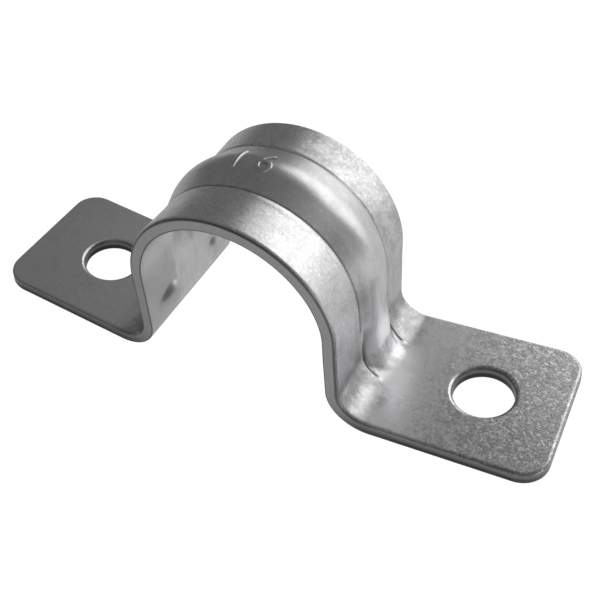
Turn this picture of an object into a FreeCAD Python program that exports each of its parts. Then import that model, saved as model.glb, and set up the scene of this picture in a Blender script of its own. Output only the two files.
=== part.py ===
import FreeCAD, Part
import math
import os

# Two-hole conduit strap, stamped and folded from one piece of zinc-plated steel.
# The origin lies on the conduit's axis, in the middle of the strap's width. The conduit runs along
# Y, the screws go in downwards, and the wall touches the undersides of the two folds, one seat
# height below the origin. Lengths are in millimetres, angles in degrees.

# ---- the conduit that the strap holds ----
conduit_diameter = 17.93      # 1/2 inch trade size, thin wall
seat_clearance = 0.135        # between the conduit and the saddle
seat_height = 9.68            # conduit axis above the wall, before the screws pull the ears flat

# ---- the strip ----
sheet_thickness = 1.27
strap_width = 15.16
bend_radius = 2.68            # concave side of the fold between leg and ear
corner_radius = 2.54          # ear corners, seen from above
rim_roll = 0.32               # edge rolled over by the blanking die, on the upper side
rim_break = 0.10              # flat that breaks the edge on the lower side

# ---- legs and ears, each side as it was folded ----
leg_splay = {"right": 2.19, "left": 1.17}
ear_tilt = {"right": 5.61, "left": 7.94}
ear_length = {"right": 15.75, "left": 14.93}
hole_reach = {"right": 8.24, "left": 6.44}    # from the fold's end to the hole's centre
hole_diameter = 5.65
hole_roll = 0.35              # rolled-over rim of the punched hole

# ---- the stiffening bead over saddle and legs ----
bead_offset = 0.47            # the bead runs a little behind the middle of the strip
bead_height = 0.77
bead_half_width = 3.15
bead_crown_radius = 3.70
bead_root = 0.10              # its straight flank goes on this far below the strip's skin
hollow_end = 9.50             # the groove behind the bead starts to run out here, above the wall

# ---- the gusset that carries the bead over each fold, pressed solid ----
gusset_top = 7.00             # its ridge leaves the leg here, above the wall
gusset_lean = 4.0             # lean of the ridge against the leg
gusset_radius = 2.00          # of the ridge's turn from the leg into the ear
gusset_crown_radius = 6.50    # across the ridge
gusset_half_width = 2.60      # where its walls drop into the fold
gusset_wall_angle = 60.0

# ---- two nibs on one leg, which hold the conduit until the screws are in ----
nib_leg = "left"
nib_spread = 4.40             # from the bead's middle, along the conduit
nib_level = 5.40              # above the wall
nib_radius = 1.35
nib_height = 0.50
dent_radius = 1.00            # the punch's dent behind each nib
dent_depth = 0.35

# ---- worked out from the sizes above ----
seat_radius = conduit_diameter / 2 + seat_clearance
crown_radius = seat_radius + sheet_thickness
ridge_radius = crown_radius + bead_height
fold_radius = bend_radius + sheet_thickness
half_strip = strap_width / 2
mid_sheet = sheet_thickness / 2
overshoot = 2 * (sheet_thickness + bead_height)    # of cutters and trimming blocks
touch = 0.0001                # closer than this is the same place

ALONG = FreeCAD.Vector(0, 1, 0)     # along the conduit


class Side:
    """Side view of one half of the strap: x runs outwards from the conduit's axis, z upwards."""

    def __init__(self, name):
        self.sign = {"right": 1, "left": -1}[name]
        self.leg_heading = leg_splay[name]
        self.ear_heading = 90 + ear_tilt[name]
        self.leg_down, self.leg_out = heading(self.leg_heading)
        self.ear_along, self.ear_up = heading(self.ear_heading)
        self.ear_length = ear_length[name]
        self.hole_reach = hole_reach[name]
        self.leg_start = self.leg_out * seat_radius
        self.leg_end = self.leg_at(fold_radius - fold_radius * self.leg_out.z, 0.0)
        self.fold_centre = self.leg_end + self.leg_out * fold_radius
        self.fold_end = self.fold_centre - self.ear_up * fold_radius

    def leg_at(self, height, level):
        """Point of the leg at a height above the wall and a level above its inner skin."""
        start = self.leg_start + self.leg_out * level
        return start + self.leg_down * ((start.z + seat_height - height) / -self.leg_down.z)

    def ear_at(self, reach, level):
        """Point of the ear at a reach from the fold's end and a level above its lower skin."""
        return self.fold_end + self.ear_along * reach + self.ear_up * level

    def place(self, point, y=0.0):
        """A point or direction of the side view, in the strap's own frame."""
        return FreeCAD.Vector(self.sign * point.x, y, point.z)

    def line(self, start, end):
        return Part.LineSegment(self.place(start), self.place(end)).toShape()

    def arc(self, start, middle, end):
        return Part.Arc(self.place(start), self.place(middle), self.place(end)).toShape()

    def skin(self, level):
        """Edges from the top of the saddle to the ear's end, at a level above the inner skin."""
        upwards = FreeCAD.Vector(0, 0, 1)
        saddle_middle = (upwards + self.leg_out).normalize() * (seat_radius + level)
        fold_out = (self.leg_out + self.ear_up).normalize()
        fold_middle = self.fold_centre - fold_out * (fold_radius - level)
        leg_start = self.leg_start + self.leg_out * level
        leg_end = self.leg_end + self.leg_out * level
        return [
            self.arc(upwards * (seat_radius + level), saddle_middle, leg_start),
            self.line(leg_start, leg_end),
            self.arc(leg_end, fold_middle, self.ear_at(0, level)),
            self.line(self.ear_at(0, level), self.ear_at(self.ear_length, level)),
        ]


def heading(angle):
    """Directions along and outwards of a stretch that points this far away from straight down."""
    turn = math.radians(angle)
    along = FreeCAD.Vector(math.sin(turn), 0, -math.cos(turn))
    out = FreeCAD.Vector(math.cos(turn), 0, math.sin(turn))
    return along, out


sides = {name: Side(name) for name in leg_splay}
halves = list(sides.values())


# ---- the folded strip ----

def across(edges):
    """Solid of the strap's full width from a closed outline in the side view."""
    face = Part.Face(Part.Wire(Part.__sortEdges__(edges)))
    face.translate(ALONG * -half_strip)
    return face.extrude(ALONG * strap_width)


def strip_blank():
    edges = []
    for side in halves:
        lower = side.ear_at(side.ear_length, 0)
        upper = side.ear_at(side.ear_length, sheet_thickness)
        edges += side.skin(0) + side.skin(sheet_thickness) + [side.line(lower, upper)]
    return across(edges)


def space_outside(level):
    """The room above the strap, from a level inside the sheet."""
    roof = FreeCAD.Vector(0, 0, ridge_radius + overshoot)
    edges = []
    for side in halves:
        tip = side.ear_at(side.ear_length, level)
        above = FreeCAD.Vector(tip.x, 0, roof.z)
        edges += side.skin(level) + [side.line(tip, above), side.line(above, roof)]
    return across(edges)


def edge_middle(edge):
    return edge.valueAt((edge.FirstParameter + edge.LastParameter) / 2)


def corner_edges(strip):
    """The four short edges through the sheet at the ears' corners."""
    found = []
    for side in halves:
        tip = side.place(side.ear_at(side.ear_length, mid_sheet))
        for edge in strip.Edges:
            middle = edge_middle(edge)
            if (middle - tip).Length < half_strip + touch and abs(middle.y) > half_strip - touch:
                found.append(edge)
    return found


def rim_edges(strip, level):
    """The strip's whole outline on one of its two skins."""
    skins = [Part.Wire(side.skin(level)) for side in halves]
    found = []
    for edge in strip.Edges:
        middle = edge_middle(edge)
        in_side_view = Part.Vertex(middle.x, 0, middle.z)
        on_skin = min(in_side_view.distToShape(skin)[0] for skin in skins) < touch
        inside = abs(middle.y) < half_strip - corner_radius
        at_tip = any(
            (in_side_view.Point - side.place(side.ear_at(side.ear_length, level))).Length < touch
            for side in halves
        )
        if on_skin and (at_tip or not inside):
            found.append(edge)
    return found


def folded_strip():
    """The strip with rounded ear corners, a rolled upper rim and a broken lower one."""
    strip = strip_blank()
    strip = strip.makeFillet(corner_radius, corner_edges(strip))
    strip = strip.makeFillet(rim_roll, rim_edges(strip, sheet_thickness))
    return strip.makeChamfer(rim_break, rim_edges(strip, 0))


def punch_hole(strip, side):
    """Screw hole square to its ear, with the rim that the punch rolled over."""
    up = side.place(side.ear_up)
    start = side.place(side.ear_at(side.hole_reach, -overshoot))
    punch = Part.makeCylinder(hole_diameter / 2, sheet_thickness + 2 * overshoot, start, up)
    strip = strip.cut(punch)
    top = side.place(side.ear_at(side.hole_reach, sheet_thickness))
    circles = [edge for edge in strip.Edges if isinstance(edge.Curve, Part.Circle)]
    rim = [edge for edge in circles if (edge.Curve.Center - top).Length < touch]
    return strip.makeFillet(hole_roll, rim)


# ---- sections of the bead, as (y, height over the ridge) ----
# Each is a half outline: the ridge, the middle and the end of the crown's arc, then straight lines.

def flank_angle():
    """Angle at which the bead's flank, tangent to its crown, comes down on the strip."""
    rise = bead_crown_radius - bead_height
    reach = math.hypot(bead_half_width, rise)
    return math.atan2(bead_half_width, rise) - math.acos(bead_crown_radius / reach)


def crown(radius, end_y, depth):
    """Arc from the ridge out to a y, on the skin at a depth below the outer one."""
    ys = (0, end_y / 2, end_y)
    return [(y, math.sqrt(radius ** 2 - y ** 2) - radius - depth) for y in ys]


def bead_section(depth):
    """Crown, straight flank, and a root below the strip's skin."""
    radius = bead_crown_radius - depth
    arc = crown(radius, radius * math.sin(flank_angle()), depth)
    edge_y, edge_height = arc[-1]
    foot = -bead_height - depth - bead_root
    reach = edge_y + (edge_height - foot) / math.tan(flank_angle())
    return arc + [(reach, foot), (reach, -overshoot)]


def gusset_section():
    """Flat crown, then a steep wall down into the fold."""
    arc = crown(gusset_crown_radius, gusset_half_width, 0)
    edge_y, edge_height = arc[-1]
    reach = edge_y + (edge_height + overshoot) / math.tan(math.radians(gusset_wall_angle))
    return arc + [(reach, -overshoot)]


def half_edges(side, ridge, out, section, hand):
    """Crown, flank and wall on one side of the ridge, and the two ends of that chain."""
    points = [side.place(ridge + out * height, bead_offset + hand * y) for y, height in section]
    edges = [Part.Arc(*points[:3]).toShape()]
    edges += [Part.LineSegment(a, b).toShape() for a, b in zip(points[2:], points[3:])]
    return edges, points[0], points[-1]


def whole_face(side, ridge, out, section):
    """The section on both sides of the ridge, square to it."""
    edges, top, floor = half_edges(side, ridge, out, section, 1)
    others, top, other_floor = half_edges(side, ridge, out, section, -1)
    edges += others + [Part.LineSegment(floor, other_floor).toShape()]
    return Part.Face(Part.Wire(Part.__sortEdges__(edges)))


def half_face(side, ridge, out, section):
    """The section on one side of the ridge."""
    edges, top, floor = half_edges(side, ridge, out, section, 1)
    below = side.place(ridge + out * section[-1][1], bead_offset)
    edges += [Part.LineSegment(floor, below).toShape(), Part.LineSegment(below, top).toShape()]
    return Part.Face(Part.Wire(Part.__sortEdges__(edges)))


# ---- sweeping them ----

def sweep(side, section, ridge, angle, steps):
    """Carry a section along runs (length, 0) and turns (radius, degrees), as solids end to end."""
    pieces = []
    for size, turn in steps:
        along, out = heading(angle)
        face = whole_face(side, ridge, out, section)
        if turn == 0:
            pieces.append(face.extrude(side.place(along * size)))
            ridge = ridge + along * size
        else:
            centre = ridge + out * math.copysign(size, turn)
            pieces.append(face.revolve(side.place(centre), ALONG, -side.sign * turn))
            angle += turn
            ridge = centre - heading(angle)[1] * math.copysign(size, turn)
    return pieces


def bead_over(side, depth, leg_run):
    """The bead's body from the top of the saddle and along that much of one leg."""
    top = FreeCAD.Vector(0, 0, ridge_radius)
    return sweep(side, bead_section(depth), top, 90,
                 [(ridge_radius, side.leg_heading - 90), (leg_run, 0)])


def gusset(side):
    """Ridge that leans out from the leg and turns into the ear."""
    lean = side.leg_heading + gusset_lean
    lean_along = heading(lean)[0]
    knee = side.leg_at(gusset_top, sheet_thickness + bead_height)
    ear_skin = side.ear_at(0, sheet_thickness)
    to_ear = (ear_skin - knee).dot(side.ear_up) / lean_along.dot(side.ear_up)
    tangent = gusset_radius * math.tan(math.radians(side.ear_heading - lean) / 2)
    lead = 2 * bead_height     # starts inside the bead
    steps = [(to_ear + lead - tangent, 0), (gusset_radius, side.ear_heading - lean)]
    return sweep(side, gusset_section(), knee - lean_along * lead, lean, steps)


def groove_end(side):
    """Rounded end of the groove behind the bead."""
    ridge = side.leg_at(hollow_end, sheet_thickness + bead_height)
    face = half_face(side, ridge, side.leg_out, bead_section(sheet_thickness))
    return face.revolve(side.place(ridge, bead_offset), side.place(side.leg_out), -180 * side.sign)


def press_bead(strip):
    """Raise the bead and its gussets, and hollow the bead from below to one sheet thickness."""
    sink = math.sqrt(bead_height * (2 * bend_radius - bead_height))   # ridge runs into the fold
    raised = []
    hollow = []
    for side in halves:
        leg_run = (side.leg_end - side.leg_start).Length + sink
        hollow_run = (side.leg_at(hollow_end, 0) - side.leg_start).Length
        raised += bead_over(side, 0, leg_run) + gusset(side)
        hollow += bead_over(side, sheet_thickness, hollow_run) + [groove_end(side)]
    body = raised[0].fuse(raised[1:]).common(space_outside(mid_sheet))
    groove = hollow[0].fuse(hollow[1:])
    return strip.fuse(body).cut(groove)


def press_nibs(strip, side):
    """Nibs on the inner face of a leg, each with the punch's dent behind it."""
    inner = side.leg_at(nib_level, nib_radius - nib_height)
    outer = side.leg_at(nib_level, sheet_thickness + dent_radius - dent_depth)
    for y in (bead_offset - nib_spread, bead_offset + nib_spread):
        strip = strip.fuse(Part.makeSphere(nib_radius, side.place(inner, y)))
        strip = strip.cut(Part.makeSphere(dent_radius, side.place(outer, y)))
    return strip


def make_strap():
    strip = folded_strip()
    for side in halves:
        strip = punch_hole(strip, side)
    strip = press_bead(strip)
    strip = press_nibs(strip, sides[nib_leg])
    return strip.removeSplitter().Solids[0]


os.makedirs("parts", exist_ok=True)
strap = make_strap()
strap.exportStep("parts/strap.step")
print("strap", strap.ShapeType, strap.isValid(), "volume", round(strap.Volume, 2))
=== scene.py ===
import math

import bpy
from mathutils import Matrix, Vector


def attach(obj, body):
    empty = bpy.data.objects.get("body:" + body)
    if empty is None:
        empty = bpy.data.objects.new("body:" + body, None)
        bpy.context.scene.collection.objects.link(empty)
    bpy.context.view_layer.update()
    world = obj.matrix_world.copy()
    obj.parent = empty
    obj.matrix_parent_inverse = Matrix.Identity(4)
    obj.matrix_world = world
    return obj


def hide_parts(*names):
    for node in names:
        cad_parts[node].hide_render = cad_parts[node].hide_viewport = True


mm = 0.001
tiny = 0.001                         # millimetres, within which two places are one
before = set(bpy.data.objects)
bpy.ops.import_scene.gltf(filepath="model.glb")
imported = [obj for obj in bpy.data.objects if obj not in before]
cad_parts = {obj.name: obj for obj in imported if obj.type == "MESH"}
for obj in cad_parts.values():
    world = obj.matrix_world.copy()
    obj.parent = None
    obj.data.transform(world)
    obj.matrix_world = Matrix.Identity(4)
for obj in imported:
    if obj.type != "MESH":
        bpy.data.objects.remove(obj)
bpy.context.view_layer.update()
print("frame loaded")


class Wire:                          # a node's output that takes part in sums
    def __init__(self, graph, socket):
        self.graph = graph
        self.socket = socket

    def __add__(self, other): return self.graph.calc("ADD", self, other)
    def __radd__(self, other): return self.graph.calc("ADD", other, self)
    def __sub__(self, other): return self.graph.calc("SUBTRACT", self, other)
    def __rsub__(self, other): return self.graph.calc("SUBTRACT", other, self)
    def __mul__(self, other): return self.graph.calc("MULTIPLY", self, other)
    def __rmul__(self, other): return self.graph.calc("MULTIPLY", other, self)
    def __truediv__(self, other): return self.graph.calc("DIVIDE", self, other)
    def __rtruediv__(self, other): return self.graph.calc("DIVIDE", other, self)
    def __abs__(self): return self.graph.calc("ABSOLUTE", self)

    def least(self, other): return self.graph.calc("MINIMUM", self, other)
    def most(self, other): return self.graph.calc("MAXIMUM", self, other)
    def root(self): return self.graph.calc("SQRT", self)

    def step(self, start, end):      # 0 at start, 1 at end, eased
        if start > end:
            return 1 - self.step(end, start)
        settings = {"interpolation_type": "SMOOTHSTEP"}
        values = {"Value": self, "From Min": start, "From Max": end}
        return self.graph.node("MapRange", settings, values)


class Graph:
    def __init__(self, name, tree=None):
        self.material = None if tree else bpy.data.materials.new(name)
        if self.material:
            self.material.use_nodes = True
        self.tree = tree or self.material.node_tree
        self.tree.nodes.clear()

    def node(self, kind, settings=None, values=None, out=0):
        made = self.tree.nodes.new("ShaderNode" + kind)
        for key, value in (settings or {}).items():
            setattr(made, key, value)
        for key, value in (values or {}).items():
            if isinstance(value, Wire):
                self.tree.links.new(value.socket, made.inputs[key])
            else:
                made.inputs[key].default_value = value
        return Wire(self, made.outputs[out]) if made.outputs else made

    def calc(self, operation, first, second=0.0):
        return self.node("Math", {"operation": operation}, {0: first, 1: second})

    def split(self, vector):
        parts = self.node("SeparateXYZ", values={0: vector}).socket.node
        return [Wire(self, socket) for socket in parts.outputs]

    def noise(self, vector, size, detail, roughness):    # size in millimetres, one or three
        size = size if isinstance(size, tuple) else (size, size, size)
        unit = [part * mm for part in size]
        scaled = self.node("VectorMath", {"operation": "DIVIDE"}, {0: vector, 1: unit})
        values = {"Vector": scaled, "Scale": 1.0, "Detail": detail, "Roughness": roughness}
        return self.node("TexNoise", values=values)

    def mix(self, factor, first, second):                # colours
        values = {0: factor, 6: first, 7: second}
        return self.node("Mix", {"data_type": "RGBA"}, values, out=2)

    def finish(self, shader):
        self.node("OutputMaterial", values={"Surface": shader})
        return self.material


def band(value, start, end, ease):   # 1 from start to end, eased at both
    return value.step(start - ease, start + ease) * value.step(end + ease, end - ease)


def blend(first, second, share):
    return first + share * (second - first)


zinc = {
    "colour": (0.62, 0.62, 0.63, 1.0),
    "dullColour": (0.37, 0.37, 0.375, 1.0),
    # bright flecks and scratches, and painted light and highlights
    "fleckAndHighlightColour": (0.92, 0.92, 0.93, 1.0),
    "cutColour": (0.40, 0.40, 0.405, 1.0),       # sheared edge
    "earCutColour": (0.16, 0.16, 0.165, 1.0),    # and of the ears, darkened as painted shade
    "paintedShadeColour": (0.03, 0.03, 0.032, 1.0),      # painted shade in creases, along the lower corners and down the ears' edges, and on rolled rims
    "roughness": 0.33,
    "beadMiddle": 0.47,
    "patterns": {                    # size in millimetres, detail and roughness of each noise
        "grain": (0.20, 2.0, 0.6),
        "specks": (0.30, 3.0, 0.7),
        "flecks": (0.28, 2.0, 0.6),
        "clumps": (0.60, 3.0, 0.65),
        "mottle": (1.6, 4.0, 0.6),
        "clouds": (8.0, 2.0, 0.5),
        "streaks": ((5.0, 0.35, 5.0), 3.0, 0.6),
    },
    "reach": {                       # the part of each noise that shows
        "specks": (0.42, 0.60),
        "flecks": (0.52, 0.64),
        "clumps": (0.40, 0.60),
        "mottle": (0.35, 0.75),
        "streaks": (0.52, 0.66),
        "foldMottle": (0.42, 0.62),
        "farMottle": (0.40, 0.60),
    },
    "relief": {"height": 0.022, "grain": 0.6, "mottle": 0.6, "clumps": 0.9},
    "rough": {"mottle": 0.14, "clouds": 0.10, "folds": 0.06, "farStrip": 0.05, "gussetSheen": 0.10,
              "nearGussetSheen": 0.16},
    "grainAt": {                     # how grainy the plating is, from place to place
        "legs": 0.30,
        "saddle": 0.50,
        "bead": 0.20,
        "inside": 0.15,
        "leftEar": 0.30,
        "rightEar": 0.35,
        "wornEar": 1.0,
    },
    "dullAt": {                      # share of the dull colour
        "mottle": 0.30,
        "specks": 0.55,
        "wornPatches": 0.55,
        "streaks": 0.35,
        "earTip": 0.62,
        "folds": 0.30,
        "foldMottle": 0.40,
        "farStrip": 0.10,
        "farMottle": 0.35,
        "besideBead": 0.45,
        "nearStrip": 0.40,
        "farFlank": 0.55,
        "nearFlank": 0.35,
        "crown": 0.20,
        "leftRoot": -0.14,
        "earRoot": -0.20,
        # painted highlight on the gusset takes away dullness
        "gussetSheen": -0.60,
    },
    "brightAt": {                    # share of the bright colour
        "flecks": 0.75,
        "patches": 0.60,             # of them hides where the plating is patchy
        # painted light: the strap's inside made lighter, less so higher up
        "inside": 0.32,
        "upperInside": -0.12,
        # lighter on the right ear beside the fold
        "lighterByFold": 0.55,
        # less of the gusset's painted highlight on its far side
        "farGussetSheen": -0.45,
        "scratches": 0.40,
        # painted highlight past the creases' ends
        "pinchEnd": 0.80,
    },
    # painted shade: dark lines along the bead's foot and in the creases by the gusset
    "darkAt": {"beadFoot": 0.55, "pinch": 0.70},
    "zones": {                       # measure in millimetres, where a zone begins and is whole
        "inside": [("fromAxis", 9.6, 9.5)],
        "upperInside": [("z", -8, 0)],
        "saddle": [("z", 0, 7)],
        "bead": [("fromBead", 3.1, 2.8)],
        "crown": [("fromBead", 3.1, 2.9), ("z", 4, 7)],
        "beadFoot": [("fromBead", 2.98, 3.10), ("fromBead", 3.26, 3.14), ("z", -1, 2),
                     ("fromAxis", 9.5, 9.6)],
        "legs": [("z", 6, 0), ("across", 12.6, 11.6)],
        "besideBead": [("fromBead", 2.9, 3.1), ("z", 5, -2), ("across", 12.8, 12.0)],
        "nearStrip": [("y", -2.6, -3.2), ("z", 5, -2), ("across", 12.8, 12.0)],
        "farStrip": [("y", 3.6, 4.2), ("x", -1, 2), ("z", 0, 4)],
        "nearFlank": [("y", -3.05, -2.45), ("y", -1.10, -1.70), ("x", 5, 8), ("across", 12.8, 12.0),
                      ("z", -3, 1)],
        "farFlank": [("y", 1.8, 2.4), ("y", 3.8, 3.2), ("x", 1.0, -1.5), ("z", 5, 8)],
        "folds": [("z", -5.0, -6.5), ("across", 15.0, 12.8), ("fromAxis", 9.5, 9.6)],
        "pinch": [("z", -3.4, -5.0)],
        # painted highlight: the right gusset's lower part made lighter
        "gussetSheen": [("x", 10.4, 11.2), ("x", 15.4, 13.4), ("z", -2.4, -4.6), ("fromBead", 3.6, 1.4)],
        "farGussetSheen": [("y", -0.6, 0.9)],
        "nearGussetSheen": [("y", 1.0, -1.5)],
        "leftEar": [("x", -13.5, -15.5)],
        "leftRoot": [("x", -13, -15)],
        "rightEar": [("x", 13.5, 15.5)],
        "earRoot": [("x", 12, 13.5)],
        # lighter on the right ear beside the fold
        "lighterByFold": [("x", 12, 13.5), ("x", 21, 14.5)],
        "wornPatches": [("x", 14, 18)],
        "wornEar": [("x", 15, 24)],
        "earTip": [("x", 17, 29)],
        "earEdges": [("across", 9, 14)],
        "tipEdge": [("x", 28, 28.6)],
        "upperSkin": [("level", 0.80, 0.95)],
    },
    "edgeBands": {                   # levels in the sheet, 0 to 1: start, end and ease of each band
        "cut": (0.02, 0.80, 0.02),
        # painted shade: lowerCorner a dark line at the lower corner, earLower darker towards the bottom
        # of the ears' edges, rolled a dark rolled rim
        "lowerCorner": (0.01, 0.12, 0.02),
        "earLower": (0.00, 0.48, 0.22),
        "rolled": (0.78, 0.94, 0.05),
    },
    "scratches": [((20.0, 4.70), (22.2, 4.90)), ((22.2, 5.08), (24.3, 5.20))],
    "scratchLine": 0.13,             # half width
    # lower, earLower and rolled: painted shade, less on the ears' rims and little at their tips; earCut:
    # painted shade on the ears' cut faces; wornCut: wear
    "edgeAt": {"earCut": 0.75, "wornCut": 0.25, "lower": 0.60, "earLower": 0.95, "rolled": 0.80,
               "earRolled": -0.20, "tip": -0.80},
}

pinches = {                          # two creases by the right gusset, each from x, y to x, y
    "near": ((10.5, -2.08), (12.2, -2.14)),
    "far": ((10.7, 3.72), (12.5, 3.10)),
    "width": 0.20,
    "depth": 0.07,
    "line": 0.14,                    # half width of the painted shade line in it
    "endPlace": 0.35,                # of the painted highlight spot, past the crease's end
    "endSize": (0.32, 0.10),
    "startFade": (-0.2, 0.1),        # shares of its length
    "endFade": (1.1, 0.9),
    "heightFade": (6.4, 4.6),        # above the wall
}


class Plating:                       # measures, patterns and zones that the zinc finish is made of
    def __init__(self, graph):
        place = graph.node("TexCoord", out=3)
        x, y, z = [part / mm for part in graph.split(place)]
        above = z.most(0)
        self.measures = {
            "x": x, "y": y, "z": z,
            "across": abs(x),
            "fromBead": abs(y - zinc["beadMiddle"]),
            "fromAxis": (x * x + above * above).root(),
            "level": graph.node("Attribute", {"attribute_name": "sheetLevel"}, out=2),
        }
        self.patterns = {name: graph.noise(place, *values) for name, values in zinc["patterns"].items()}
        self.masks = {name: self.zone(parts) for name, parts in zinc["zones"].items()}

    def zone(self, parts):
        mask = 1.0
        for measure, start, end in parts:
            mask = mask * self.measures[measure].step(start, end)
        return mask

    def shown(self, pattern, reach=None):
        return self.patterns[pattern].step(*zinc["reach"][reach or pattern])

    def grainAmount(self):
        masks, parts = self.masks, zinc["grainAt"]
        amount = blend(parts["legs"], parts["saddle"], masks["saddle"])
        amount = blend(amount, parts["bead"], masks["bead"])
        worn = blend(parts["rightEar"], parts["wornEar"], masks["wornEar"])
        amount = blend(amount, worn, masks["rightEar"])
        amount = blend(amount, parts["leftEar"], masks["leftEar"])
        return blend(amount, parts["inside"], masks["inside"])

    def dullShare(self, amount, gussetSheen):
        masks, parts = self.masks, zinc["dullAt"]
        # the gusset's painted highlight lessens the dull share
        dull = gussetSheen * parts["gussetSheen"] + self.shown("mottle") * parts["mottle"]
        dull = dull + self.shown("specks") * amount * parts["specks"]
        dull = dull + self.shown("clumps") * amount * masks["wornPatches"] * parts["wornPatches"]
        dull = dull + self.shown("streaks") * masks["legs"] * parts["streaks"]
        inFolds = parts["folds"] + self.shown("mottle", "foldMottle") * parts["foldMottle"]
        onFarStrip = parts["farStrip"] + self.shown("mottle", "farMottle") * parts["farMottle"]
        dull = dull + masks["folds"] * inFolds + masks["farStrip"] * onFarStrip
        strips = masks["besideBead"] * parts["besideBead"] + masks["nearStrip"] * parts["nearStrip"]
        dull = dull + strips * (1 - masks["folds"])
        for name in ("earTip", "farFlank", "nearFlank", "crown", "leftRoot", "earRoot"):
            dull = dull + masks[name] * parts[name]
        return dull.most(0).least(1.0)

    def brightShare(self, amount):
        masks, parts = self.masks, zinc["brightAt"]
        flecks = self.shown("flecks") * (1 - self.shown("clumps") * parts["patches"])
        # painted light on the strap's inside, less of it higher up
        inside = parts["inside"] + masks["upperInside"] * parts["upperInside"]
        return (flecks * amount * parts["flecks"]).most(masks["inside"] * inside)


def lineMark(plating, ends, edge):   # 1 along a straight line, 0 past its edge
    (startX, startY), (endX, endY) = ends
    x, y = plating.measures["x"], plating.measures["y"]
    share = (x - startX) / (endX - startX)
    aside = abs(y - startY - share * (endY - startY))
    return aside.step(edge, edge * 0.2) * band(share, 0.0, 0.95, 0.15)


def endSpot(plating, end):           # the painted highlight spot past a crease's end
    alongX = plating.measures["x"] - end[0] - pinches["endPlace"]
    alongY = plating.measures["y"] - end[1]
    return (alongX * alongX + alongY * alongY).root().step(*pinches["endSize"])


def markedColour(graph, colour, plating):        # painted shade along the bead's foot and in the creases, painted highlights past the creases' ends, and the scratches
    masks, brightAt, darkAt = plating.masks, zinc["brightAt"], zinc["darkAt"]
    upper = masks["upperSkin"]
    creases = [pinches["near"], pinches["far"]]
    # painted shade along the bead's foot
    colour = graph.mix(masks["beadFoot"] * darkAt["beadFoot"], colour, zinc["paintedShadeColour"])
    scratched = sum(lineMark(plating, ends, zinc["scratchLine"]) for ends in zinc["scratches"])
    colour = graph.mix(scratched * upper * brightAt["scratches"], colour, zinc["fleckAndHighlightColour"])
    # painted highlights past the creases' ends
    spots = sum(endSpot(plating, ends[1]) for ends in creases)
    colour = graph.mix(spots * upper * brightAt["pinchEnd"], colour, zinc["fleckAndHighlightColour"])
    # painted shade along the two creases by the gusset
    lines = sum(lineMark(plating, ends, pinches["line"]) for ends in creases)
    return graph.mix(lines * upper * masks["pinch"] * darkAt["pinch"], colour, zinc["paintedShadeColour"])


def edgeColour(graph, colour, plating):          # the sheared edge, from the lower skin to the upper
    level, onEar = plating.measures["level"], plating.masks["earEdges"]
    cut, lowerCorner, earLower, rolled = [band(level, *values) for values in zinc["edgeBands"].values()]
    parts = zinc["edgeAt"]
    # onEar's share darkens the ears' cut faces and hole walls as painted shade; the clumps' share is
    # wear
    worn = onEar * parts["earCut"] + plating.patterns["clumps"] * parts["wornCut"]
    onCut = graph.mix(worn, zinc["cutColour"], zinc["earCutColour"])
    colour = graph.mix(cut, colour, onCut)
    # painted shade along the lower corner, down the ears' edges and on the rolled rims
    lower = (lowerCorner * parts["lower"]).most(earLower * onEar * parts["earLower"])
    upper = rolled * (parts["rolled"] + onEar * parts["earRolled"])
    upper = upper * (1 + plating.masks["tipEdge"] * parts["tip"])
    return graph.mix(lower.most(upper), colour, zinc["paintedShadeColour"])


def zincMaterial():
    graph = Graph("zincPlatedSteel")
    plating = Plating(graph)
    masks, patterns = plating.masks, plating.patterns
    relief, rough, brightAt = zinc["relief"], zinc["rough"], zinc["brightAt"]
    amount = plating.grainAmount()
    # painted highlight on the right gusset's lower part, less on its far side
    gussetSheen = masks["gussetSheen"] * (1 + masks["farGussetSheen"] * brightAt["farGussetSheen"])
    # lighter on the right ear beside the fold
    shine = (masks["lighterByFold"] * brightAt["lighterByFold"]).most(gussetSheen)
    clean = graph.mix(shine, zinc["colour"], zinc["fleckAndHighlightColour"])
    colour = graph.mix(plating.dullShare(amount, gussetSheen), clean, zinc["dullColour"])
    colour = graph.mix(plating.brightShare(amount), colour, zinc["fleckAndHighlightColour"])
    colour = markedColour(graph, colour, plating)
    colour = edgeColour(graph, colour, plating)
    roughness = zinc["roughness"] + (patterns["mottle"] - 0.5) * rough["mottle"]
    roughness = roughness + (patterns["clouds"] - 0.5) * rough["clouds"]
    roughness = roughness + masks["folds"] * rough["folds"] + masks["farStrip"] * rough["farStrip"]
    roughness = roughness + gussetSheen * (rough["gussetSheen"] + masks["nearGussetSheen"] * rough["nearGussetSheen"])
    height = (patterns["grain"] * relief["grain"] + patterns["clumps"] * relief["clumps"]) * amount
    height = height + patterns["mottle"] * relief["mottle"]
    normal = graph.node("Bump", values={"Height": height, "Strength": 1.0,
                                        "Distance": relief["height"] * mm})
    shader = graph.node("BsdfPrincipled", values={
        "Base Color": colour, "Metallic": 1.0, "Roughness": roughness, "Normal": normal})
    return graph.finish(shader)


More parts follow.
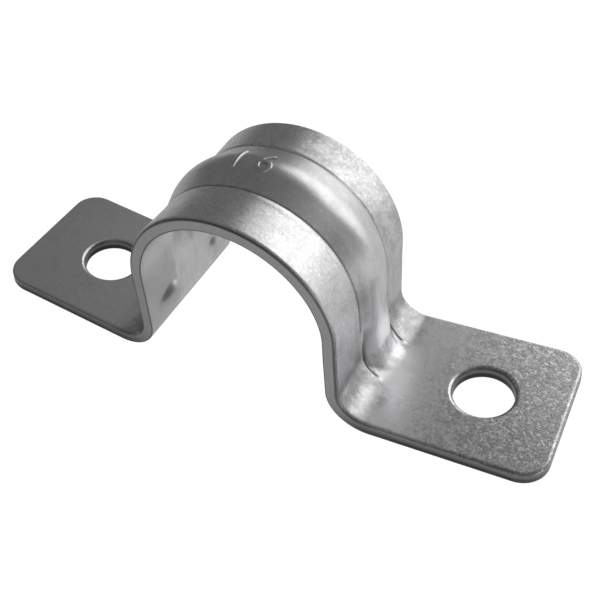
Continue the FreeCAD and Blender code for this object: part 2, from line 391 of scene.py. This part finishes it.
# side view of the strap, in millimetres: x outwards from the conduit's axis, z upwards
strapSizes = {
    "seatRadius": 9.10,
    "thickness": 1.27,
    "width": 15.16,
    "seatHeight": 9.68,
    "bendRadius": 2.68,
    "cornerRadius": 2.54,
    "rimRoll": 0.32,
    "rimBreak": 0.10,
    "legSplay": {"left": 1.17, "right": 2.19},     # degrees
    "earTilt": {"left": 7.94, "right": 5.61},
    "earLength": {"left": 14.93, "right": 15.75},
    "holeReach": {"left": 6.44, "right": 8.24},
    "holeRadius": 2.825,
    "holeRoll": 0.42,
    "holeSides": 96,
    "columns": 0.17,                 # spacing of the mesh lines over the bead
    "fineColumns": 0.07,             # at its foot
    "wideColumns": 0.24,             # and beside it
    "fineOutside": 0.6,              # reach of the fine ones from the foot
    "fineInside": 1.2,
    "plainEdge": 0.5,                # left without mesh lines
    "saddleRows": 100,
    "legRows": 34,
    "foldRows": 44,
    "toeRun": 2.2,                   # stretch of ear beside the fold that takes the gusset's toe
    "toeRows": 18,
    "cornerSteps": 14,
    "rollSteps": 6,
    "breakSteps": 2,
    "punchDepth": 6,
    "smoothAngle": 40,
}


def headingAt(angle):                # along and outwards, for a stretch that far from straight down
    turn = math.radians(angle)
    return Vector((math.sin(turn), 0, -math.cos(turn))), Vector((math.cos(turn), 0, math.sin(turn)))


class Half:                          # one side of the strap, seen from the side
    def __init__(self, name, sign):
        sizes = strapSizes
        self.name = name
        self.sign = sign
        self.legHeading = sizes["legSplay"][name]
        self.earHeading = 90 + sizes["earTilt"][name]
        self.legAlong, self.legOut = headingAt(self.legHeading)
        self.earAlong, self.earUp = headingAt(self.earHeading)
        self.earLength = sizes["earLength"][name]
        self.foldRadius = sizes["bendRadius"] + sizes["thickness"]
        self.legStart = self.legOut * sizes["seatRadius"]
        self.legEnd = self.legAt(self.foldRadius * (1 - self.legOut.z), 0)
        self.foldCentre = self.legEnd + self.legOut * self.foldRadius
        self.foldEnd = self.foldCentre - self.earUp * self.foldRadius

    def legAt(self, height, level):  # height above the wall, level above the inner skin
        start = self.legStart + self.legOut * level
        rise = start.z + strapSizes["seatHeight"] - height
        return start - self.legAlong * (rise / self.legAlong.z)

    def earAt(self, reach, level):   # reach from the fold's end, level above the lower skin
        return self.foldEnd + self.earAlong * reach + self.earUp * level

    def place(self, point):          # from the side view to the strap's frame
        return Vector((self.sign * point.x, 0, point.z))

    def skinAt(self, point):         # the skin's outward direction and the level at a point
        if point.dot(self.legAlong) <= 0:
            return point.normalized(), point.length - strapSizes["seatRadius"]
        fromCentre = point - self.foldCentre
        if fromCentre.dot(self.legAlong) < 0:
            return self.legOut, (point - self.legStart).dot(self.legOut)
        if fromCentre.dot(self.earAlong) <= 0:
            return -fromCentre.normalized(), self.foldRadius - fromCentre.length
        return self.earUp, (point - self.foldEnd).dot(self.earUp)


left = Half("left", -1)
right = Half("right", 1)


def sideView(place):                 # the half a place belongs to, and the place in its side view
    half = right if place.x > 0 else left
    return half, Vector((abs(place.x), 0, place.z))


def deselectAll():
    if bpy.context.mode != "OBJECT":
        bpy.ops.object.mode_set(mode="OBJECT")
    bpy.ops.object.select_all(action="DESELECT")


def makeActive(piece):
    deselectAll()
    piece.select_set(True)
    bpy.context.view_layer.objects.active = piece


def editAll(piece):
    makeActive(piece)
    bpy.ops.object.mode_set(mode="EDIT")
    bpy.ops.mesh.select_all(action="SELECT")


def pick(piece, kind, wanted):       # edit mode, with the edges or faces that the test wants
    editAll(piece)
    bpy.ops.mesh.select_mode(type=kind)
    bpy.ops.mesh.select_all(action="DESELECT")
    bpy.ops.object.mode_set(mode="OBJECT")
    parts = piece.data.edges if kind == "EDGE" else piece.data.polygons
    places = piece.data.vertices
    for part in parts:
        part.select = wanted([places[index].co for index in part.vertices])
    bpy.ops.object.mode_set(mode="EDIT")


pressSizes = {                       # the bead, its groove and the gussets
    "beadOffset": 0.47,
    "beadHeight": 0.77,
    "beadHalfWidth": 3.15,
    "crownRadius": 3.70,
    "creaseDepth": 0.055,            # the die's line at the bead's foot
    "creaseWidth": 0.22,
    "lipHeight": 0.018,              # and the lip on the strip beside it
    "lipAside": 0.40,
    "grooveEnd": 9.50,
    "gussetTop": 6.60,
    "gussetLean": 6.0,
    "gussetRadius": 1.90,
    "gussetCrownRadius": 8.0,
    "gussetHalfWidth": 2.10,
    "gussetWallAngle": 42.0,
    "wallBlend": 1.0,                # softness between the gusset's crown and its walls
    "gussetShift": 0.30,             # its middle lies this much behind the bead's
    "blendAbove": 1.0,               # the bead turns into the gusset from here, over its top
    "blendBelow": 1.4,               # to here
    "footBlend": 0.10,               # softness at their feet
    "narrowing": 0.12,               # of the bead's front flank, on the way down a leg
    "narrowingRun": (11.0, 4.0),     # heights above the wall, as those below
    "flare": 1.5,                    # of the strip beside the bead, in degrees
    "flareFrom": 2.2,                # outside the bead's foot
    "flareRun": (8.0, 12.0),
    "creaseRun": (4.0, 6.5),
    "toeFade": 0.6,                  # reach on the ear where the gusset's toe starts to run out
}


def columnPlaces():                  # fine over the bead, finest at its foot
    sizes = strapSizes
    edge = sizes["width"] / 2 - sizes["plainEdge"]
    foot = pressSizes["beadHalfWidth"]
    middle = pressSizes["beadOffset"]
    outside, inside = foot + sizes["fineOutside"], foot - sizes["fineInside"]
    stops = [(-edge, 0), (middle - outside, sizes["wideColumns"]),
             (middle - inside, sizes["fineColumns"]), (middle + inside, sizes["columns"]),
             (middle + outside, sizes["fineColumns"]), (edge, sizes["wideColumns"])]
    marks = [-edge]
    for (start, before), (end, spacing) in zip(stops, stops[1:]):
        count = round((end - start) / spacing)
        marks += [start + (end - start) * (step + 1) / count for step in range(count)]
    return marks


def crossSection():
    deselectAll()
    bpy.ops.mesh.primitive_plane_add(size=1)
    piece = bpy.context.object
    tip = left.place(left.earAt(left.earLength, strapSizes["thickness"] / 2))
    up = left.place(left.earUp)
    axes = Matrix((up, Vector((0, 1, 0)), up.cross(Vector((0, 1, 0))))).transposed().to_4x4()
    stretch = Matrix.Diagonal((strapSizes["thickness"], strapSizes["width"], 1, 1))
    piece.matrix_world = Matrix.Translation(tip) @ axes @ stretch
    bpy.ops.object.transform_apply(location=True, rotation=True, scale=True)
    for y in columnPlaces():
        editAll(piece)
        bpy.ops.mesh.bisect(plane_co=(0, y, 0), plane_no=(0, 1, 0), threshold=tiny / 100)
    bpy.ops.mesh.select_all(action="SELECT")
    return piece


def run(half, direction, length, rows):
    stride = half.place(direction) * (length / rows)
    for row in range(rows):
        bpy.ops.mesh.extrude_region_move(TRANSFORM_OT_translate={"value": stride})


def turn(centre, degrees, rows):
    bpy.ops.mesh.spin(steps=rows, angle=math.radians(degrees), center=centre, axis=(0, -1, 0))


def foldStrip():
    piece = crossSection()
    sizes = strapSizes
    legLength = {half: (half.legEnd - half.legStart).length for half in (left, right)}
    run(left, -left.earAlong, left.earLength - sizes["toeRun"], 1)
    run(left, -left.earAlong, sizes["toeRun"], sizes["toeRows"])
    turn(left.place(left.foldCentre), left.legHeading - left.earHeading, sizes["foldRows"])
    run(left, -left.legAlong, legLength[left], sizes["legRows"])
    turn((0, 0, 0), 180 - left.legHeading - right.legHeading, sizes["saddleRows"])
    run(right, right.legAlong, legLength[right], sizes["legRows"])
    turn(right.place(right.foldCentre), right.legHeading - right.earHeading, sizes["foldRows"])
    run(right, right.earAlong, sizes["toeRun"], sizes["toeRows"])
    run(right, right.earAlong, right.earLength - sizes["toeRun"], 1)
    editAll(piece)
    bpy.ops.mesh.normals_make_consistent(inside=False)
    bpy.ops.object.mode_set(mode="OBJECT")
    return piece


def onFlatEar(corners):
    for corner in corners:
        half, point = sideView(corner)
        if (point - half.foldEnd).dot(half.earAlong) < strapSizes["toeRun"] - tiny:
            return False
    return True


def isCorner(ends):                  # the four short edges through the sheet at the ears' tips
    across = abs(ends[0].y - ends[1].y) < tiny
    half, point = sideView((ends[0] + ends[1]) / 2)
    atTip = abs((point - half.foldEnd).dot(half.earAlong) - half.earLength) < tiny
    return across and atTip and abs(ends[0].y) > strapSizes["width"] / 2 - tiny


def isRim(level):
    def wanted(ends):                # outline edges on one of the two skins
        for end in ends:
            half, point = sideView(end)
            if abs(half.skinAt(point)[1] - level) > tiny:
                return False
        half, point = sideView((ends[0] + ends[1]) / 2)
        reach = (point - half.foldEnd).dot(half.earAlong)
        atSide = min(abs(end.y) for end in ends) > strapSizes["width"] / 2 - tiny
        inCorner = reach > half.earLength - strapSizes["cornerRadius"] - tiny
        if atSide:
            return True
        return inCorner and all(onOutline(end) for end in ends)
    return wanted


def onOutline(place):                # on the rounded outline of an ear's tip
    half, point = sideView(place)
    radius = strapSizes["cornerRadius"]
    ahead = (point - half.foldEnd).dot(half.earAlong) - (half.earLength - radius)
    aside = abs(place.y) - (strapSizes["width"] / 2 - radius)
    if aside <= 0:
        return abs(ahead - radius) < 10 * tiny
    return abs(math.hypot(max(ahead, 0), aside) - radius) < 10 * tiny


def roundRims(piece):
    sizes = strapSizes
    pick(piece, "FACE", onFlatEar)
    bpy.ops.mesh.dissolve_limited(angle_limit=math.radians(1))
    pick(piece, "EDGE", isCorner)
    bpy.ops.mesh.bevel(offset=sizes["cornerRadius"], segments=sizes["cornerSteps"], clamp_overlap=False)
    pick(piece, "EDGE", isRim(sizes["thickness"]))
    bpy.ops.mesh.bevel(offset=sizes["rimRoll"], segments=sizes["rollSteps"], clamp_overlap=False)
    pick(piece, "EDGE", isRim(0))
    bpy.ops.mesh.bevel(offset=sizes["rimBreak"], segments=sizes["breakSteps"], clamp_overlap=False)
    bpy.ops.object.mode_set(mode="OBJECT")


def punchHole(piece, half):
    sizes = strapSizes
    deselectAll()
    bpy.ops.mesh.primitive_cylinder_add(vertices=sizes["holeSides"], radius=sizes["holeRadius"],
                                        depth=sizes["punchDepth"])
    punch = bpy.context.object
    middle = half.place(half.earAt(sizes["holeReach"][half.name], sizes["thickness"] / 2))
    up = half.place(half.earUp)
    punch.matrix_world = Matrix.Translation(middle) @ up.to_track_quat("Z", "Y").to_matrix().to_4x4()
    bpy.ops.object.transform_apply(location=True, rotation=True, scale=True)
    makeActive(piece)
    cut = piece.modifiers.new("punch", "BOOLEAN")
    cut.object = punch
    cut.operation = "DIFFERENCE"
    cut.solver = "EXACT"
    bpy.ops.object.modifier_apply(modifier="punch")
    bpy.data.objects.remove(punch)
    top = half.place(half.earAt(sizes["holeReach"][half.name], sizes["thickness"]))
    pick(piece, "EDGE", lambda ends: all(
        abs((end - top).length - sizes["holeRadius"]) < 10 * tiny
        and abs((end - top).dot(up)) < 10 * tiny for end in ends))
    bpy.ops.mesh.bevel(offset=sizes["holeRoll"], segments=sizes["rollSteps"], clamp_overlap=False)
    bpy.ops.object.mode_set(mode="OBJECT")


wrinkle = {                          # a shallow second crease in front of the bead
    "half": "right",
    "aside": 4.02,
    "width": 0.30,
    "depth": 0.035,
    "lipAside": 3.62,
    "lipHeight": 0.025,
    "topFade": (11.6, 7.5),          # above the wall
    "bottomFade": (5.2, 6.0),
}

nibSizes = {
    "half": "left",
    "spread": 4.10,                  # from the bead's middle
    "level": 4.90,                   # above the wall
    "radius": 2.30,
    "height": 0.64,
    "tail": 1.6,                     # how much longer it is towards the strip's edge
    "taper": 0.15,                   # and how much narrower there
    "dentRadius": 1.00,
    "dentDepth": 0.35,
}


def easeIn(value, start, end):       # 0 at start, 1 at end
    part = min(1.0, max(0.0, (value - start) / (end - start)))
    return part * part * (3 - 2 * part)


def flankAngle():
    rise = pressSizes["crownRadius"] - pressSizes["beadHeight"]
    reach = math.hypot(pressSizes["beadHalfWidth"], rise)
    return math.atan2(pressSizes["beadHalfWidth"], rise) - math.acos(pressSizes["crownRadius"] / reach)


def beadFall(aside, depth):          # fall of the bead's section from its ridge, at a depth in the sheet
    radius = pressSizes["crownRadius"] - depth
    edge = radius * math.sin(flankAngle())
    if aside < edge:
        return depth + radius - math.sqrt(radius ** 2 - aside ** 2)
    return depth + radius * (1 - math.cos(flankAngle())) + (aside - edge) * math.tan(flankAngle())


def gussetFall(aside):
    half, radius = pressSizes["gussetHalfWidth"], pressSizes["gussetCrownRadius"]
    crown = radius - math.sqrt(radius ** 2 - min(aside, half) ** 2)
    past = softMost(aside - half, 0.0, pressSizes["wallBlend"])
    return crown + past * math.tan(math.radians(pressSizes["gussetWallAngle"]))


def crossing(first, firstOut, second, secondOut, reach):    # point that far outside two lines
    a, b = first.dot(firstOut) + reach, second.dot(secondOut) + reach
    spread = firstOut.x * secondOut.z - firstOut.z * secondOut.x
    return Vector(((a * secondOut.z - b * firstOut.z) / spread, 0,
                   (firstOut.x * b - secondOut.x * a) / spread))


class Ridge:                         # the gusset's ridge in the side view
    def __init__(self, half):
        sizes = pressSizes
        self.leanAlong, self.leanOut = headingAt(half.legHeading + sizes["gussetLean"])
        self.earAlong, self.earUp = half.earAlong, half.earUp
        self.knee = half.legAt(sizes["gussetTop"], strapSizes["thickness"] + sizes["beadHeight"])
        self.foot = half.earAt(0, strapSizes["thickness"])
        self.turn = crossing(self.knee, self.leanOut, self.foot, self.earUp, sizes["gussetRadius"])

    def outside(self, point):        # how far a point lies outside the ridge
        fromTurn = point - self.turn
        if fromTurn.dot(self.leanAlong) <= 0:
            return (point - self.knee).dot(self.leanOut)
        if fromTurn.dot(self.earAlong) < 0:
            return pressSizes["gussetRadius"] - fromTurn.length
        return (point - self.foot).dot(self.earUp)


ridges = {half: Ridge(half) for half in (left, right)}


def gussetRise(half, point, outwards, aside):    # along the skin's normal, to the gusset's surface
    fall = gussetFall(aside)
    ridge = ridges[half]
    low, high = -1.0, strapSizes["bendRadius"]
    for halving in range(18):
        middle = (low + high) / 2
        if ridge.outside(point + outwards * middle) + fall < 0:
            low = middle
        else:
            high = middle
    return low


def heightOf(point):
    return point.z + strapSizes["seatHeight"]


def softMost(first, second, width):  # the greater of two, eased where they are nearly equal
    near = max(0.0, width - abs(first - second)) / width
    return max(first, second) + near * near * width / 4


def beadRise(half, point, outwards, aside):      # the bead runs straight down into the fold
    rise = pressSizes["beadHeight"] - beadFall(aside, 0)
    if point.dot(half.legAlong) <= 0:
        return rise
    level = (point - half.legStart).dot(half.legOut) - strapSizes["thickness"]
    lean = outwards.dot(half.legOut)
    return (rise - level) / lean if lean > 0.2 else -1.0


def sectionAside(half, point, y):    # distance from the bead's middle, wider where the bead narrows
    aside = y - pressSizes["beadOffset"]
    if aside > 0 or point.dot(half.legAlong) <= 0:
        return abs(aside)
    foot = pressSizes["beadHalfWidth"]
    narrow = pressSizes["narrowing"] * easeIn(heightOf(point), *pressSizes["narrowingRun"])
    return -aside * foot / (foot - narrow) if -aside < foot else -aside + narrow


def creaseFall(aside):               # the die's line at the bead's foot, and the lip beside it
    sizes = pressSizes
    past = aside - sizes["beadHalfWidth"]
    ditch = sizes["creaseDepth"] * easeIn(abs(past), sizes["creaseWidth"], 0)
    lip = sizes["lipHeight"] * easeIn(abs(past - sizes["lipAside"]), sizes["lipAside"], 0)
    return ditch - lip


def wrinkleFall(half, point, y):
    if half.name != wrinkle["half"]:
        return 0.0
    height = heightOf(point)
    aside = pressSizes["beadOffset"] - y
    share = easeIn(height, *wrinkle["topFade"]) * easeIn(height, *wrinkle["bottomFade"])
    groove = wrinkle["depth"] * easeIn(abs(aside - wrinkle["aside"]), wrinkle["width"], 0)
    lip = wrinkle["lipHeight"] * easeIn(abs(aside - wrinkle["lipAside"]), wrinkle["width"], 0)
    return (groove - lip) * share


def pinchFall(half, point, y):
    fall = 0.0
    if half.name == "left":
        return fall
    for name in ("near", "far"):
        (startX, startY), (endX, endY) = pinches[name]
        share = (point.x - startX) / (endX - startX)
        aside = abs(y - startY - share * (endY - startY))
        fade = easeIn(share, *pinches["startFade"]) * easeIn(share, *pinches["endFade"])
        fall += pinches["depth"] * fade * easeIn(aside, pinches["width"], 0)
    return fall * easeIn(heightOf(point), *pinches["heightFade"])


def flareRise(half, point, y):       # the strip's edges stand up a little beside the bead
    sizes = pressSizes
    past = abs(y - sizes["beadOffset"]) - sizes["beadHalfWidth"]
    share = easeIn(heightOf(point), *sizes["flareRun"])
    return (max(past, 0.0) - sizes["flareFrom"]) * math.tan(math.radians(sizes["flare"])) * share


def outerRise(half, point, outwards, y):
    sizes = pressSizes
    reach = (point - half.foldEnd).dot(half.earAlong)
    if reach > strapSizes["toeRun"] - tiny:
        return 0.0
    aside = sectionAside(half, point, y)
    raised = beadRise(half, point, outwards, aside)
    top, height = sizes["gussetTop"], heightOf(point)
    share = easeIn(height, top + sizes["blendAbove"], top - sizes["blendBelow"])
    if share > 0 and point.x > strapSizes["seatRadius"]:
        fromMiddle = abs(y - sizes["beadOffset"] - sizes["gussetShift"])
        raised += share * (gussetRise(half, point, outwards, fromMiddle) - raised)
    rise = softMost(max(raised, -1.0), 0.0, sizes["footBlend"])
    rise *= easeIn(reach, strapSizes["toeRun"], sizes["toeFade"])
    fade = easeIn(height, *sizes["creaseRun"])
    return rise - creaseFall(aside) * fade - wrinkleFall(half, point, y) - pinchFall(half, point, y)


def grooveRise(half, point, y):
    sizes = pressSizes
    end = half.legAt(sizes["grooveEnd"], 0)
    beyond = max(0.0, (point - end).dot(half.legAlong)) if point.dot(half.legAlong) > 0 else 0.0
    aside = math.hypot(y - sizes["beadOffset"], beyond)
    rise = sizes["beadHeight"] + strapSizes["thickness"] - beadFall(aside, strapSizes["thickness"])
    return max(0.0, rise)


def nibRise(half, point, y, radius, height, tail):   # a round head, drawn out towards the strip's edge
    if half.name != nibSizes["half"] or point.dot(half.legAlong) <= 0:
        return 0.0
    along = (point - half.legAt(nibSizes["level"], 0)).dot(half.legAlong)
    aside = abs(y - pressSizes["beadOffset"]) - nibSizes["spread"]
    if aside > 0:
        aside = aside / tail
        along = along * (1 + nibSizes["taper"] * aside)
    reach = math.hypot(along, aside)
    return max(0.0, math.sqrt(max(0.0, radius ** 2 - reach ** 2)) - radius + height)


def press(piece):                    # and note each place's level in the sheet, 0 to 1
    thickness = strapSizes["thickness"]
    levels = piece.data.attributes.new("sheetLevel", "FLOAT", "POINT")
    for vertex in piece.data.vertices:
        half, point = sideView(vertex.co)
        outwards, level = half.skinAt(point)
        levels.data[vertex.index].value = level / thickness
        y = vertex.co.y
        flare = flareRise(half, point, y)
        if level > thickness - tiny:
            rise = outerRise(half, point, outwards, y) + flare
            rise -= nibRise(half, point, y, nibSizes["dentRadius"], nibSizes["dentDepth"], 1.0)
        elif level < tiny:
            rise = grooveRise(half, point, y) + flare
            rise -= nibRise(half, point, y, nibSizes["radius"], nibSizes["height"], nibSizes["tail"])
        else:
            rise = flare
        vertex.co += half.place(outwards) * rise


def makeStrap():
    piece = foldStrip()
    roundRims(piece)
    print("strip folded:", len(piece.data.polygons), "faces")
    for half in (left, right):
        punchHole(piece, half)
    press(piece)
    print("bead, gussets and nibs pressed")
    piece.name = "strapMetal"
    piece.data.name = "strapMetal"
    piece.data.transform(Matrix.Scale(mm, 4))
    makeActive(piece)
    bpy.ops.object.shade_smooth_by_angle(angle=math.radians(strapSizes["smoothAngle"]))
    piece.modifiers.new("flatFacesFirst", "WEIGHTED_NORMAL").keep_sharp = True
    bpy.ops.object.modifier_apply(modifier="flatFacesFirst")
    piece.data.materials.append(zincMaterial())
    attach(piece, "root")
    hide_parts("strap")
    return piece


strap = makeStrap()
print("strap made:", len(strap.data.polygons), "faces")


markSizes = {
    "words": "16",
    "height": 2.45,                  # of the numerals, along the conduit
    "fontHeight": 0.69,              # of a numeral at text size 1
    "thinner": -0.05,                # strokes
    "spacing": 1.55,
    "thick": 0.20,                   # half thickness, of which the lower part sinks into the bead
    "proud": 0.09,
    "round": 0.12,
    "middleAngle": 96.5,             # around the conduit, from the right
    "middleY": 0.42,
    "roundSteps": 3,
    "cuts": 0.35,                    # spacing of the mesh lines that let it bend
    "smoothAngle": 50,
}


def raisedWords():
    deselectAll()
    bpy.ops.object.text_add()
    words = bpy.context.object
    words.data.body = markSizes["words"]
    words.data.size = markSizes["height"] / markSizes["fontHeight"]
    words.data.space_character = markSizes["spacing"]
    words.data.align_x = "CENTER"
    words.data.align_y = "CENTER"
    words.data.offset = markSizes["thinner"]
    words.data.extrude = markSizes["thick"] - markSizes["round"]
    words.data.bevel_depth = markSizes["round"]
    words.data.bevel_resolution = markSizes["roundSteps"]
    bpy.ops.object.convert(target="MESH")
    return bpy.context.object


def cutToBend(piece):
    for axis in range(2):
        reach = max(abs(vertex.co[axis]) for vertex in piece.data.vertices)
        count = math.ceil(reach / markSizes["cuts"])
        normal = (1 - axis, axis, 0)
        for step in range(-count, count + 1):
            place = [part * step * markSizes["cuts"] for part in normal]
            editAll(piece)
            bpy.ops.mesh.bisect(plane_co=place, plane_no=normal, threshold=tiny / 100)
    bpy.ops.object.mode_set(mode="OBJECT")


def makeSizeMark():
    piece = raisedWords()
    cutToBend(piece)
    ridge = strapSizes["seatRadius"] + strapSizes["thickness"] + pressSizes["beadHeight"]
    for vertex in piece.data.vertices:
        along, y, up = vertex.co
        y += markSizes["middleY"]
        angle = math.radians(markSizes["middleAngle"]) - along / ridge
        level = ridge - beadFall(abs(y - pressSizes["beadOffset"]), 0) + up
        level += markSizes["proud"] - markSizes["thick"]
        vertex.co = (level * math.cos(angle), y, level * math.sin(angle))
    piece.name = "sizeMark"
    piece.data.name = "sizeMark"
    piece.data.transform(Matrix.Scale(mm, 4))
    makeActive(piece)
    bpy.ops.object.shade_smooth_by_angle(angle=math.radians(markSizes["smoothAngle"]))
    piece.data.materials.clear()
    piece.data.materials.append(strap.data.materials[0])
    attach(piece, "root")
    return piece


sizeMark = makeSizeMark()
print("size mark made:", len(sizeMark.data.polygons), "faces")


floorSizes = {
    "half": 3.0,                     # metres, half its side
    "level": -9.68 * mm,
    "colour": (0.9, 0.9, 0.9, 1),
    "glow": 1.12,                    # white for the camera
    "keep": 0.90,                    # share of the glow, the rest is lit and takes the shadow
    "mirroredLeft": 0.11,
    "mirroredRight": 0.70,
    "mirroredReach": 110 * mm,       # over which the mirrored floor changes from left to right
}


def floorMaterial():
    graph = Graph("whiteFloor")
    sizes = floorSizes
    x, y, z = graph.split(graph.node("TexCoord", out=3))
    rays = graph.node("LightPath").socket.node.outputs
    seen = Wire(graph, rays["Is Camera Ray"]).most(Wire(graph, rays["Is Transmission Ray"]))
    toRight = x.step(-sizes["mirroredReach"], sizes["mirroredReach"])
    mirrored = blend(sizes["mirroredLeft"], sizes["mirroredRight"], toRight)
    glow = graph.node("Emission", values={"Color": (1, 1, 1, 1), "Strength": sizes["glow"]})
    matt = graph.node("BsdfDiffuse", values={"Color": sizes["colour"]})
    share = (seen * sizes["keep"]).most(mirrored * Wire(graph, rays["Is Glossy Ray"]))
    return graph.finish(graph.node("MixShader", values={0: share, 1: matt, 2: glow}))


def makeFloor():
    deselectAll()
    bpy.ops.mesh.primitive_plane_add(size=2 * floorSizes["half"])
    floor = bpy.context.object
    floor.name = "floor"
    floor.data.transform(Matrix.Translation((0, 0, floorSizes["level"])))
    floor.data.materials.append(floorMaterial())


lamps = {                            # degrees as seen from the strap, level 1 shows as white
    "window": {"azimuth": 67, "elevation": 26, "distance": 0.60, "wide": 64, "high": 52,
               "level": 1.16},
    "windowMiddle": {"azimuth": 62, "elevation": 37, "distance": 0.58, "wide": 56, "high": 34,
                     "level": 0.62},
}

roomLevel = {
    "left": 0.18,
    "right": 0.31,
    "rightHorizon": 0.52,
    "aboveHorizon": (0.50, 0.05),    # shares of the way up
    "toRight": (-0.3, 0.95),         # and of the way across
}


def makeLamps():
    for name, sizes in lamps.items():
        azimuth, elevation = math.radians(sizes["azimuth"]), math.radians(sizes["elevation"])
        towards = Vector((math.cos(azimuth) * math.cos(elevation),
                          math.sin(azimuth) * math.cos(elevation), math.sin(elevation)))
        data = bpy.data.lights.new(name, "AREA")
        data.shape = "RECTANGLE"
        data.size = 2 * sizes["distance"] * math.tan(math.radians(sizes["wide"] / 2))
        data.size_y = 2 * sizes["distance"] * math.tan(math.radians(sizes["high"] / 2))
        data.energy = sizes["level"] * math.pi * data.size * data.size_y
        lamp = bpy.data.objects.new(name, data)
        bpy.context.scene.collection.objects.link(lamp)
        lamp.location = towards * sizes["distance"]
        lamp.rotation_euler = towards.to_track_quat("Z", "Y").to_euler()


def makeWorld():                     # a dim room, lighter on the right, behind a white background
    world = bpy.data.worlds.new("studio")
    world.use_nodes = True
    graph = Graph("studio", world.node_tree)
    x, y, z = graph.split(graph.node("TexCoord", out=0))
    level = roomLevel
    rightSide = blend(level["right"], level["rightHorizon"], z.step(*level["aboveHorizon"]))
    room = blend(level["left"], rightSide, x.step(*level["toRight"]))
    rays = graph.node("LightPath").socket.node.outputs
    seen = Wire(graph, rays["Is Camera Ray"]).most(Wire(graph, rays["Is Transmission Ray"]))
    strength = room + seen * (1 - room)
    shader = graph.node("Background", values={"Color": (1, 1, 1, 1), "Strength": strength})
    graph.node("OutputWorld", values={"Surface": shader})
    bpy.context.scene.world = world


cameraFit = {
    "azimuth": 29.177,
    "elevation": 45.653,
    "roll": -2.863,
    "distance": 79.78 * mm,
    "target": (3.058 * mm, 0.0, -3.819 * mm),
    "lens": 50.09,
    "sensor": 36.0,
}


def makeCamera():
    azimuth = math.radians(cameraFit["azimuth"])
    elevation = math.radians(cameraFit["elevation"])
    roll = math.radians(cameraFit["roll"])
    back = Vector((math.sin(azimuth) * math.cos(elevation),
                   -math.cos(azimuth) * math.cos(elevation), math.sin(elevation)))
    level = Vector((math.cos(azimuth), math.sin(azimuth), 0))
    up = back.cross(level)
    turnedRight = level * math.cos(roll) + up * math.sin(roll)
    turnedUp = up * math.cos(roll) - level * math.sin(roll)
    data = bpy.data.cameras.new("camera")
    data.lens = cameraFit["lens"]
    data.sensor_width = cameraFit["sensor"]
    data.clip_start = 1 * mm
    data.clip_end = 20.0
    camera = bpy.data.objects.new("camera", data)
    bpy.context.scene.collection.objects.link(camera)
    place = Vector(cameraFit["target"]) + back * cameraFit["distance"]
    axes = Matrix((turnedRight, turnedUp, back)).transposed().to_4x4()
    camera.matrix_world = Matrix.Translation(place) @ axes
    bpy.context.scene.camera = camera


makeFloor()
makeLamps()
makeWorld()
makeCamera()
bpy.context.scene.view_settings.view_transform = "Standard"
print("stage ready")
